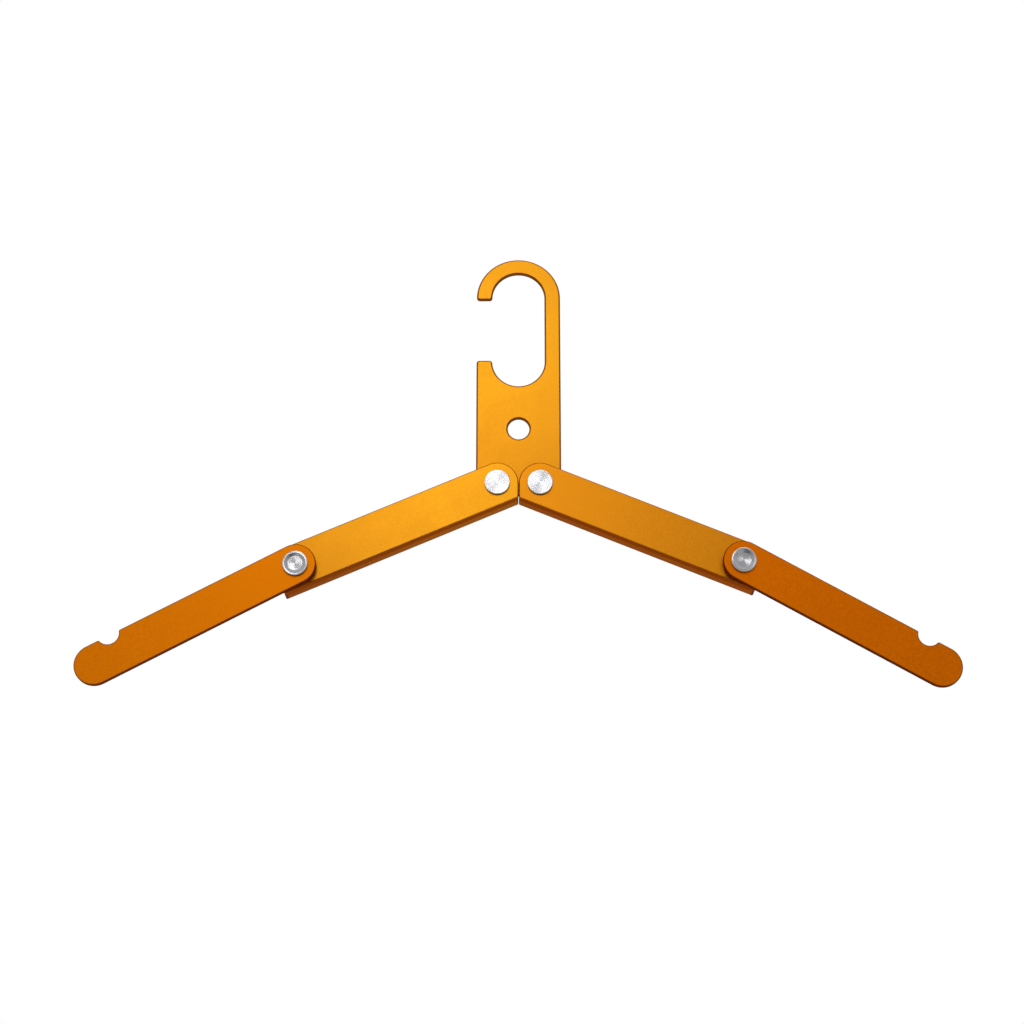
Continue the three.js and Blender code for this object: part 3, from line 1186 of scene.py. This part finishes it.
@dataclass(frozen=True)
class ArmSizes:
    """The sizes that the arms of one side share.

    Attributes:
        book: The frame.
        side: The side that they are on.
        link: The distance between the inner and the outer pivot, along the inner arm.
        pivot_drop: How far the outer pivot lies below the inner arm's line of pivots.
        bore: The diameter of the pivots' bores.
        stop_radius: The stop pin's distance from the outer pivot.
        stop_seat: The radius of the stop pin's seat.
    """

    book: FrameBook
    side: Side
    link: float = 101.0
    pivot_drop: float = 0.825
    bore: float = PIVOT_BORE
    stop_radius: float = 7.1
    stop_seat: float = 1.2

    def node(self, name: str) -> str:
        """A node's whole name on this side."""
        return f"{self.side.value}_{name}"

    def low(self, name: str) -> Vector:
        """The lowest corner of a node on this side."""
        return self.book.low(self.node(name))

    def high(self, name: str) -> Vector:
        """The highest corner of a node on this side."""
        return self.book.high(self.node(name))

    def reach(self, name: str) -> list[float]:
        """How far out from the middle a node on this side starts and ends."""
        return sorted(self.side.sign * corner.x for corner in (self.low(name), self.high(name)))

    def radius(self, name: str) -> float:
        """The radius of a turned node on this side."""
        return (self.high(name).z - self.low(name).z) / 2

    def fit(self, draft: Draft, name: str, placing: Placing, coat: Coat) -> None:
        """Makes, dresses and mounts a drawn piece of this side, by its node's name."""
        self.book.fit(draft, self.node(name), placing, coat)

    @property
    def inner_pivot(self) -> Vector:
        """The inner pivot's middle."""
        return self.book.pivot(self.node("inner_fold"))

    @property
    def outer_pivot(self) -> Vector:
        """The outer pivot's middle."""
        return self.book.pivot(self.node("outer_fold"))

    @property
    def inner_droop(self) -> float:
        """How far the opened inner arm points below the horizontal."""
        line = droop_of(self.outer_pivot - self.inner_pivot)
        return line - math.atan2(self.pivot_drop, self.link)

    @property
    def outer_radius(self) -> float:
        """The radius of the outer arm's round ends."""
        return abs(self.outer_pivot.x) - self.reach("outer_arm")[0]

    @property
    def outer_tip(self) -> Vector:
        """The centre of the outer arm's round tip."""
        across = self.side.sign * (self.reach("outer_arm")[1] - self.outer_radius)
        return Vector((across, 0, self.low("outer_arm").z + self.outer_radius))

    @property
    def outer_droop(self) -> float:
        """How far the opened outer arm points below the horizontal."""
        return droop_of(self.outer_tip - self.outer_pivot)

    def inner_placing(self) -> Placing:
        """Where the inner arm's own frame lies."""
        return Placing(self.inner_pivot, self.inner_droop, self.side)

    def outer_placing(self) -> Placing:
        """Where the outer arm's own frame lies."""
        return Placing(self.outer_pivot, self.outer_droop, self.side)


@dataclass(frozen=True)
class FoldedSheet:
    """How the inner arm's blank is bent into a trough that is open along its top.

    The blank's height is zero along the middle of the floor, above zero towards the front wall
    and below zero towards the rear wall. Its depth is zero on the trough's outside.

    Attributes:
        wall: The front wall's outer face, in front of the middle.
        floor: The floor's outer face, below the pivot.
        bend: The bends' outer radius.
        end_radius: The round inner end's radius about the pivot.
        droop: The slope of the opened arm, which the square inner end makes up for.
        corner: The rounding of the far end's lower corner.
        bend_shade: How dark the bends' painted shade is, in the middle of each.
        floor_shade: How dark the painted shade under the floor is.
    """

    wall: float
    floor: float
    bend: float
    end_radius: float
    droop: float
    corner: float
    bend_shade: float = 0.55
    floor_shade: float = 0.14

    @property
    def floor_half(self) -> float:
        """Half the flat width of the floor."""
        return self.wall - self.bend

    @property
    def wall_start(self) -> float:
        """The blank's height at which a wall starts."""
        return self.floor_half + self.bend * QUARTER

    @property
    def pivot_line(self) -> float:
        """The blank's height at the pivot's level, on the front wall."""
        return self.wall_start + self.floor - self.bend

    def lean(self, up: float) -> float:
        """How far the sheet is bent up at a height of the blank, from 0 to a quarter turn."""
        return min(max((abs(up) - self.floor_half) / self.bend, 0.0), QUARTER)

    def height(self, up: float, depth: float) -> float:
        """The height of a point of the blank once it is bent, above the pivot."""
        beyond = max(abs(up) - self.wall_start, 0.0)
        return self.bend - self.floor - (self.bend - depth) * math.cos(self.lean(up)) + beyond

    def square_end(self, height: float) -> float:
        """Where the square inner end cuts a height, along the arm."""
        return -(self.end_radius + height * math.sin(self.droop)) / math.cos(self.droop)

    def point(self, along: float, up: float, depth: float) -> Vector:
        """Works out where a point of the blank comes to lie.

        Args:
            along: Its place along the arm.
            up: Its height on the blank.
            depth: How far it lies into the sheet, from the trough's outside.

        Returns:
            Its place in the arm's own frame.
        """
        across = min(abs(up), self.floor_half) + (self.bend - depth) * math.sin(self.lean(up))
        height = self.height(up, depth)
        if along < 0:
            shift = self.square_end(height) - self.square_end(self.height(up, 0))
        else:
            short = max(self.corner - self.floor - height, 0.0)
            shift = math.sqrt(max(self.corner**2 - short**2, 0.0)) - self.corner
        return Vector((along + shift, -math.copysign(across, up), height))

    def depth_of_painted_shade(self, up: float) -> float:
        """How dark the faces' painted shade is: darker in the bends and under the floor."""
        lean = self.lean(up)
        return self.bend_shade * math.sin(2 * lean) + self.floor_shade * math.cos(lean) ** 2

    def direction(self, up: float, normal: Vector) -> Vector:
        """Works out the way that a direction of the blank comes to point.

        Args:
            up: The height on the blank.
            normal: The direction, as its parts along the arm, up the blank and into the sheet.

        Returns:
            The direction in the arm's own frame.
        """
        cosine = math.cos(self.lean(up))
        sine = math.copysign(math.sin(self.lean(up)), up)
        upward = Vector((0, -cosine, sine))
        inward = Vector((0, sine, cosine))
        return Vector((normal.x, 0, 0)) + upward * normal.y + inward * normal.z


@dataclass(frozen=True)
class InnerArm:
    """The trough-shaped inner arm, bent from sheet.

    Attributes:
        sizes: The sizes that the arms share.
        sheet: The sheet's thickness.
        bend_inside: The bends' inner radius.
        overhang: How far it runs past the outer pivot, which also rounds the walls' far ends.
        corner: The rounding of the far end's lower corners.
        meeting_gap: What is left between the two arms.
        edge: The rounding of the sheet's edges.
        bend_steps: The steps of each bend.
    """

    sizes: ArmSizes
    sheet: float = 1.2
    bend_inside: float = 0.4
    overhang: float = 9.7
    corner: float = 0.6
    meeting_gap: float = 0.3
    edge: float = 0.45
    bend_steps: int = 6

    def folded(self) -> FoldedSheet:
        """Works out how the blank is bent.

        Returns:
            The bent shape.
        """
        wall = -self.sizes.low("inner_arm").y
        end_radius = abs(self.sizes.inner_pivot.x) - self.meeting_gap / 2
        floor = end_radius + 2 * self.sizes.pivot_drop
        bend = self.bend_inside + self.sheet
        return FoldedSheet(wall, floor, bend, end_radius, self.sizes.inner_droop, self.corner)

    def blank(self, shape: FoldedSheet) -> tuple[Trace, list[tuple[int, int]]]:
        """The flat blank's outer line, and the pairs of its points at the bends.

        Args:
            shape: How the blank is bent.

        Returns:
            The line, and the pairs of points that a straight edge has to join.
        """
        droop = shape.droop
        pivot = shape.pivot_line
        top = pivot + shape.end_radius
        end = self.sizes.link + self.overhang
        step = shape.bend * QUARTER / self.bend_steps
        rising = [shape.floor_half + step * number for number in range(self.bend_steps + 1)]
        stations = [-up for up in reversed(rising)] + rising
        trace = Trace().arc(0, pivot, shape.end_radius, QUARTER, HALF_TURN + droop)
        left = {}
        for up in reversed(stations):
            slope = math.copysign(math.tan(droop) * math.sin(shape.lean(up)), up)
            trace.spot(shape.square_end(shape.height(up, 0)), up, (-1, -slope))
            left[up] = len(trace.points) - 1
        trace.arc(0, -pivot, shape.end_radius, HALF_TURN - droop, 3 * QUARTER)
        trace.arc(self.sizes.link, self.overhang - top, self.overhang, 3 * QUARTER, FULL_TURN)
        right = {}
        for up in stations:
            trace.spot(end, up, (1, 0))
            right[up] = len(trace.points) - 1
        trace.arc(self.sizes.link, top - self.overhang, self.overhang, 0, QUARTER)
        return trace.closed(), [(left[up], right[up]) for up in stations]

    def stop_slot(self, centre_line: float) -> Trace:
        """The curved slot that the stop pin runs in.

        Args:
            centre_line: The blank's height at the outer pivot.

        Returns:
            The slot's line, clockwise.
        """
        link = self.sizes.link
        radius = self.sizes.stop_radius
        half_slot = self.sizes.stop_seat
        bend = self.sizes.outer_droop - self.sizes.inner_droop
        start = QUARTER - bend
        finish = start + HALF_TURN - math.atan2(self.sizes.pivot_drop, link) + bend
        ends = [
            (link + radius * math.cos(angle), centre_line + radius * math.sin(angle))
            for angle in (start, finish)
        ]
        return (
            Trace()
            .arc(link, centre_line, radius + half_slot, finish, start)
            .arc(*ends[0], half_slot, start, start - HALF_TURN)
            .arc(link, centre_line, radius - half_slot, start, finish)
            .arc(*ends[1], half_slot, finish + HALF_TURN, finish)
            .closed()
        )

    def build(self) -> None:
        """Builds and dresses the arm."""
        shape = self.folded()
        outline, creases = self.blank(shape)
        bore = self.sizes.bore / 2
        outer_line = shape.pivot_line - self.sizes.pivot_drop
        holes = [
            round_hole(0, shape.pivot_line, bore),
            round_hole(0, -shape.pivot_line, bore),
            round_hole(self.sizes.link, outer_line, bore),
            self.stop_slot(outer_line),
        ]
        blank = Blank(outline, holes, 0.0, self.sheet, self.edge, creases=creases)
        # the right-hand arm is painted darker, as shade
        coat = Coat.AMBER if self.sizes.side is Side.LEFT else Coat.DEEP_AMBER
        self.sizes.fit(blank.draft(shape), "inner_arm", self.sizes.inner_placing(), coat)


@dataclass(frozen=True)
class OuterArm:
    """The flat outer arm, with a strap notch in its top edge.

    Attributes:
        sizes: The sizes that the arms share.
        link: The distance from its pivot to the centre of its round tip.
        notch_radius: The strap notch's radius.
        notch_outset: How far the notch's centre lies above the top edge.
        notch_corner: The rounding of the notch's two corners.
        notch_inset: The notch's distance back from the tip's centre.
        stop_depth: The depth of the stop pin's seat.
        edge: The rounding of its edges.
    """

    sizes: ArmSizes
    link: float = 101.0
    notch_radius: float = 5.1
    notch_outset: float = 1.0
    notch_corner: float = 0.8
    notch_inset: float = 11.4
    stop_depth: float = 2.2
    edge: float = 0.5

    def outline(self) -> Trace:
        """Draws the arm's outer line.

        Returns:
            The line, anticlockwise from the lowest point of the round tip.
        """
        radius = self.sizes.outer_radius
        notch_x = self.link - self.notch_inset
        notch_z = radius + self.notch_outset
        rounding_z = radius - self.notch_corner
        fall = notch_z - rounding_z
        run = math.sqrt((self.notch_radius + self.notch_corner) ** 2 - fall**2)
        turn = math.atan2(fall, run)
        return (
            Trace()
            .arc(self.link, 0, radius, -QUARTER, QUARTER)
            .arc(notch_x + run, rounding_z, self.notch_corner, QUARTER, HALF_TURN - turn)
            .arc(notch_x, notch_z, self.notch_radius, -turn, turn - HALF_TURN)
            .arc(notch_x - run, rounding_z, self.notch_corner, turn, QUARTER)
            .arc(0, 0, radius, QUARTER, 3 * QUARTER)
            .closed()
        )

    def build(self) -> None:
        """Builds and dresses the arm."""
        low = self.sizes.low("outer_arm").y
        high = self.sizes.high("outer_arm").y
        seat = round_hole(0, self.sizes.stop_radius, self.sizes.stop_seat)
        blank = Blank(
            self.outline(),
            [round_hole(0, 0, self.sizes.bore / 2)],
            low,
            high,
            self.edge,
            pockets=[(seat, high - self.stop_depth)],
        )
        # the right-hand arm is painted darker, as shade
        coat = Coat.COPPER if self.sizes.side is Side.LEFT else Coat.DEEP_COPPER
        draft = blank.draft(FlatShape())
        self.sizes.fit(draft, "outer_arm", self.sizes.outer_placing(), coat)


@dataclass(frozen=True)
class PivotSet:
    """The turned pieces of one pivot: a headed pin, the cap pressed into it, and washers.

    Attributes:
        sizes: The sizes that the arms share.
        shank: The shank's radius.
        tube: The radius of the hole in the shank's end.
        tube_depth: That hole's depth.
        spigot: The radius of the cap's stem.
        head_edge: The rounding of a flat head's rim, of a dish's slope and of the pins' ends.
        cap_rim: The flat width of the dished cap's raised rim.
        cap_slope: The width of the slope between the rim and the dish's floor.
        cap_dish: The depth of the dish at its edge.
        cap_cone: The further fall of the dish towards its middle.
        cap_edge: The rounding of the cap's outer rim.
        slope_shade: How dark the slope's painted shade is.
        fine_edge: The rounding of the slip washers, the heads' rear edges and the tube.
    """

    sizes: ArmSizes
    shank: float = 2.5
    tube: float = 1.5
    tube_depth: float = 4.3
    spigot: float = 1.2
    head_edge: float = 0.25
    cap_rim: float = 0.6
    cap_slope: float = 1.4
    cap_dish: float = 0.5
    cap_cone: float = 0.15
    cap_edge: float = 0.3
    slope_shade: float = 0.15
    fine_edge: float = 0.08

    @property
    def middle(self) -> Vector:
        """The pivot's middle."""
        raise NotImplementedError

    def _heights(self, name: str, facing: Facing) -> tuple[float, float]:
        """A node's inner and outer end, as heights towards the way that it faces."""
        low, high = self.sizes.low(name).y, self.sizes.high(name).y
        return (-high, -low) if facing is Facing.FRONT else (low, high)

    def pin(self, name: str, facing: Facing, seat: float) -> None:
        """Builds a flat head on a tubular shank.

        Args:
            name: The node's name without its side.
            facing: The way that the head faces.
            seat: The height of the face that the head rests on.
        """
        end, face = self._heights(name, facing)
        head = self.sizes.radius(name)
        floor = end + self.tube_depth
        draft = turned_draft(
            [
                Corner(0, face),
                Corner(head, face, self.head_edge),
                # the side wall and everything behind it are painted in full shade
                Corner(head, face - 2 * self.head_edge, depth=FULL_SHADE),
                Corner(head, seat + TOUCHING, self.fine_edge, FULL_SHADE),
                Corner(self.shank, seat + TOUCHING, self.fine_edge, FULL_SHADE),
                Corner(self.shank, end, self.head_edge, FULL_SHADE),
                Corner(self.tube, end, self.fine_edge, FULL_SHADE),
                Corner(self.tube, floor, self.fine_edge, FULL_SHADE),
                Corner(0, floor, depth=FULL_SHADE),
            ]
        )
        self.sizes.fit(draft, name, Placing(self.middle, facing=facing), Coat.SILVER)

    def cap(self, name: str, facing: Facing, seat: float) -> None:
        """Builds a dished head with its spigot.

        Args:
            name: The node's name without its side.
            facing: The way that the head faces.
            seat: The height of the face that the head rests on.
        """
        end, face = self._heights(name, facing)
        head = self.sizes.radius(name)
        dish = head - self.cap_edge - self.cap_rim
        foot = dish - self.cap_slope
        floor = face - self.cap_dish
        inner = foot - 2 * self.head_edge
        draft = turned_draft(
            [
                Corner(0, floor - self.cap_cone),
                Corner(inner, floor - self.cap_cone * (1 - inner / foot)),
                # the dish's slope is painted darker, and the side wall and what lies behind it in
                # full shade
                Corner(foot, floor, self.head_edge, self.slope_shade),
                Corner(dish, face, self.head_edge, self.slope_shade),
                Corner(dish + self.cap_rim / 2, face),
                Corner(head, face, self.cap_edge),
                Corner(head, face - 2 * self.cap_edge, depth=FULL_SHADE),
                Corner(head, seat + TOUCHING, self.fine_edge, FULL_SHADE),
                Corner(self.spigot, seat + TOUCHING, self.fine_edge, FULL_SHADE),
                Corner(self.spigot, end, self.head_edge, FULL_SHADE),
                Corner(0, end, depth=FULL_SHADE),
            ]
        )
        self.sizes.fit(draft, name, Placing(self.middle, facing=facing), Coat.SILVER)

    def washer(self, name: str, heights: Sequence[float], edge: float, coat: Coat) -> None:
        """Builds a washer, flat or coned.

        Args:
            name: The node's name without its side.
            heights: Its corners' heights towards the front: the bore's and the rim's at its
                front, then the rim's and the bore's at its rear.
            edge: The rounding of its edges.
            coat: Its finish.
        """
        bore = self.sizes.bore / 2
        rim = self.sizes.radius(name)
        corners = [Corner(*place, edge) for place in zip((bore, rim, rim, bore), heights)]
        self.sizes.fit(turned_draft(corners, ring=True), name, Placing(self.middle), coat)

    def slip_washer(self, name: str, rear: float, front: float) -> None:
        """Builds a flat nylon washer between two faces.

        Args:
            name: The node's name without its side.
            rear: The height towards the front of the face behind it.
            front: The height of the face in front of it.
        """
        low = rear + TOUCHING
        high = front - TOUCHING
        self.washer(name, (high, high, low, low), self.fine_edge, Coat.NYLON)


@dataclass(frozen=True)
class InnerPivot(PivotSet):
    """The pivot that joins an inner arm to the hook plate."""

    @property
    def middle(self) -> Vector:
        """The pivot's middle."""
        return self.sizes.inner_pivot

    def build(self) -> None:
        """Builds and dresses the pin, the cap and the two slip washers."""
        wall = self.sizes.high("inner_arm").y
        inside = wall - InnerArm(self.sizes).sheet
        face = self.sizes.book.high(PLATE).y
        self.pin("inner_pivot_pin", Facing.FRONT, wall)
        self.cap("inner_pivot_cap", Facing.REAR, wall)
        self.slip_washer("inner_front_washer", face, inside)
        self.slip_washer("inner_rear_washer", -inside, -face)


@dataclass(frozen=True)
class OuterPivot(PivotSet):
    """The pivot that joins an outer arm to its inner arm.

    Attributes:
        cone: The spring washer's rise from its rim to its bore.
        spring_edge: The rounding of the spring washer's edges.
    """

    cone: float = 0.15
    spring_edge: float = 0.06

    @property
    def middle(self) -> Vector:
        """The pivot's middle."""
        return self.sizes.outer_pivot

    def build(self) -> None:
        """Builds and dresses the pin, the cap, the two washers and the stop pin."""
        wall = -self.sizes.low("inner_arm").y
        inside = wall - InnerArm(self.sizes).sheet
        spring = self.sizes.high("outer_spring_washer").y
        self.pin("outer_pivot_pin", Facing.REAR, spring)
        self.cap("outer_pivot_cap", Facing.FRONT, -self.sizes.low("outer_arm").y)
        self.slip_washer("outer_slip_washer", wall, -self.sizes.high("outer_arm").y)
        front = inside - TOUCHING
        heights = (front, front - self.cone, TOUCHING - spring, self.cone - spring)
        self.washer("outer_spring_washer", heights, self.spring_edge, Coat.SPRING)
        self.stop_pin()

    def stop_pin(self) -> None:
        """Builds the short pin that runs in the curved slot."""
        name = "outer_stop_pin"
        low, high = self._heights(name, Facing.FRONT)
        radius = self.sizes.radius(name)
        middle = (self.sizes.low(name) + self.sizes.high(name)) / 2
        draft = turned_draft(
            [
                Corner(0, high),
                Corner(radius, high, self.head_edge),
                Corner(radius, low, self.head_edge),
                Corner(0, low),
            ]
        )
        placing = Placing(Vector((middle.x, 0, middle.z)))
        self.sizes.fit(draft, name, placing, Coat.SPRING)


# Studio


@dataclass(frozen=True)
class Softbox:
    """A soft rectangular lamp.

    Attributes:
        name: Its name.
        place: Its middle, in metres.
        size: Its width and height, in metres.
        power: Its power, in watts.
        aim: The point that it faces, in metres.
    """

    name: str
    place: Place
    size: tuple[float, float]
    power: float
    aim: Place = (0.0, 0.0, -0.1)

    def build(self) -> None:
        """Makes the lamp."""
        lamp = bpy.data.lights.new(self.name, "AREA")
        lamp.shape = "RECTANGLE"
        lamp.size, lamp.size_y = self.size
        lamp.energy = self.power
        holder = bpy.data.objects.new(self.name, lamp)
        holder.location = self.place
        facing = Vector(self.aim) - Vector(self.place)
        holder.rotation_euler = facing.to_track_quat("-Z", "Y").to_euler()
        bpy.context.scene.collection.objects.link(holder)


def rectangle(left: float, right: float, low: float, high: float) -> list[tuple[float, float]]:
    """A rectangle's corners, anticlockwise."""
    return [(left, low), (right, low), (right, high), (left, high)]


@dataclass(frozen=True)
class Studio:
    """The floor, the pale surroundings, the lamps and the camera.

    Attributes:
        floor_height: The floor's height, in metres.
        floor_reach: Half the floor's width, in metres.
        floor_colour: The floor's colour.
        screen_size: The width and height of the dark screen, in metres.
        screen_gap: How far the dark screen stands behind the camera, in metres.
        screen_colour: The dark screen's colour.
        ambient: How strongly the white surroundings light what is matte.
        front: How bright the surroundings in front of the hanger are where metal mirrors them.
        lamps: The softboxes.
        camera_place: The camera's place, in metres.
        camera_pitch: How far the camera looks up, in degrees.
        focal_pixels: The camera's focal length, in pixels of the picture.
        picture_pixels: The picture's width and height, in pixels.
        sensor: The camera's sensor width, in millimetres.
        nearest: How near the camera still sees, in metres.
    """

    floor_height: float = -0.62
    floor_reach: float = 30.0
    floor_colour: Colour = (0.76, 0.755, 0.745)
    screen_size: tuple[float, float] = (0.48, 0.46)
    screen_gap: float = 0.04
    screen_colour: Colour = (0.03, 0.03, 0.035)
    ambient: float = 0.65
    front: float = 0.47
    lamps: tuple[Softbox, ...] = (
        Softbox("key_softbox", place=(-0.13, -1.55, 0.5), size=(0.36, 0.5), power=1.9),
        Softbox("top_softbox", place=(0.3, 0.2, 1.6), size=(1.2, 1.2), power=10.0),
    )
    camera_place: Place = (-0.0031, -0.9179, -0.4041)
    camera_pitch: float = 17.2
    focal_pixels: float = 2060.0
    picture_pixels: float = 1024.0
    sensor: float = 36.0
    nearest: float = 0.01

    def build(self) -> None:
        """Builds the whole studio."""
        self.floor()
        self.screen()
        self.surroundings()
        for lamp in self.lamps:
            lamp.build()
            log.info("%s", lamp.name)
        self.camera()
        bpy.context.scene.view_settings.view_transform = "Standard"

    def sheet(
        self, name: str, corners: Sequence[Sequence[float]], colour: Colour
    ) -> bpy.types.Object:
        """Makes a matte four-cornered sheet of the studio.

        Args:
            name: Its name.
            corners: Its corners, in metres.
            colour: Its colour.

        Returns:
            The sheet.
        """
        mesh = bpy.data.meshes.new(name)
        mesh.from_pydata(corners, [], [(0, 1, 2, 3)])
        sheet = bpy.data.objects.new(name, mesh)
        bpy.context.scene.collection.objects.link(sheet)
        mesh.materials.append(Paint(colour).material(f"{name}_paint"))
        return sheet

    def floor(self) -> None:
        """Makes the plain pale floor."""
        reach = self.floor_reach
        ways = rectangle(-reach, reach, -reach, reach)
        self.sheet("floor", [(*way, self.floor_height) for way in ways], self.floor_colour)

    def screen(self) -> None:
        """Makes the dark screen behind the camera, which shows only where metal mirrors it."""
        width, height = self.screen_size
        middle, front, _ = self.camera_place
        low = self.floor_height
        ways = rectangle(middle - width / 2, middle + width / 2, low, low + height)
        corners = [(across, front - self.screen_gap, up) for across, up in ways]
        screen = self.sheet("dark_screen", corners, self.screen_colour)
        screen.visible_camera = False
        screen.visible_diffuse = False
        screen.visible_shadow = False

    def surroundings(self) -> None:
        """Makes the world: white where it is seen, with a dimmer front where it is mirrored."""
        world = bpy.data.worlds.new("surroundings")
        world.use_nodes = True
        bpy.context.scene.world = world
        graph = Graph(world.node_tree)
        ray = graph.node("ShaderNodeLightPath", {}, {}).outputs
        seen = Value(graph, ray["Is Camera Ray"])
        mirrored = Value(graph, ray["Is Glossy Ray"]).highest(ray["Is Transmission Ray"])
        front = graph.measure("DOT_PRODUCT", graph.coordinate("Generated"), FRONTWARDS)
        room = 1 - front.highest(0.0) * (1 - self.front)
        strength = self.ambient + seen * (1 - self.ambient) + mirrored * (room - self.ambient)
        inputs = {"Color": WHITE, "Strength": strength}
        graph.surface("ShaderNodeBackground", "ShaderNodeOutputWorld", inputs)

    def camera(self) -> None:
        """Makes the camera and sets it as the scene's."""
        lens = bpy.data.cameras.new("camera")
        lens.sensor_width = self.sensor
        lens.lens = self.sensor * self.focal_pixels / self.picture_pixels
        lens.clip_start = self.nearest
        camera = bpy.data.objects.new("camera", lens)
        camera.location = self.camera_place
        camera.rotation_euler = (QUARTER + math.radians(self.camera_pitch), 0, 0)
        bpy.context.scene.collection.objects.link(camera)
        bpy.context.scene.camera = camera


def main() -> None:
    """Builds the hanger piece by piece, then the studio."""
    logging.basicConfig(level=logging.INFO, format="%(message)s")
    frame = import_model()
    materials = {coat: finish.material(coat.value) for coat, finish in FINISHES.items()}
    book = FrameBook(frame, materials)
    HookPlate(book).build()
    for side in Side:
        sizes = ArmSizes(book, side)
        InnerArm(sizes).build()
        OuterArm(sizes).build()
        InnerPivot(sizes).build()
        OuterPivot(sizes).build()
    Studio().build()


if __name__ == "__main__":
    main()
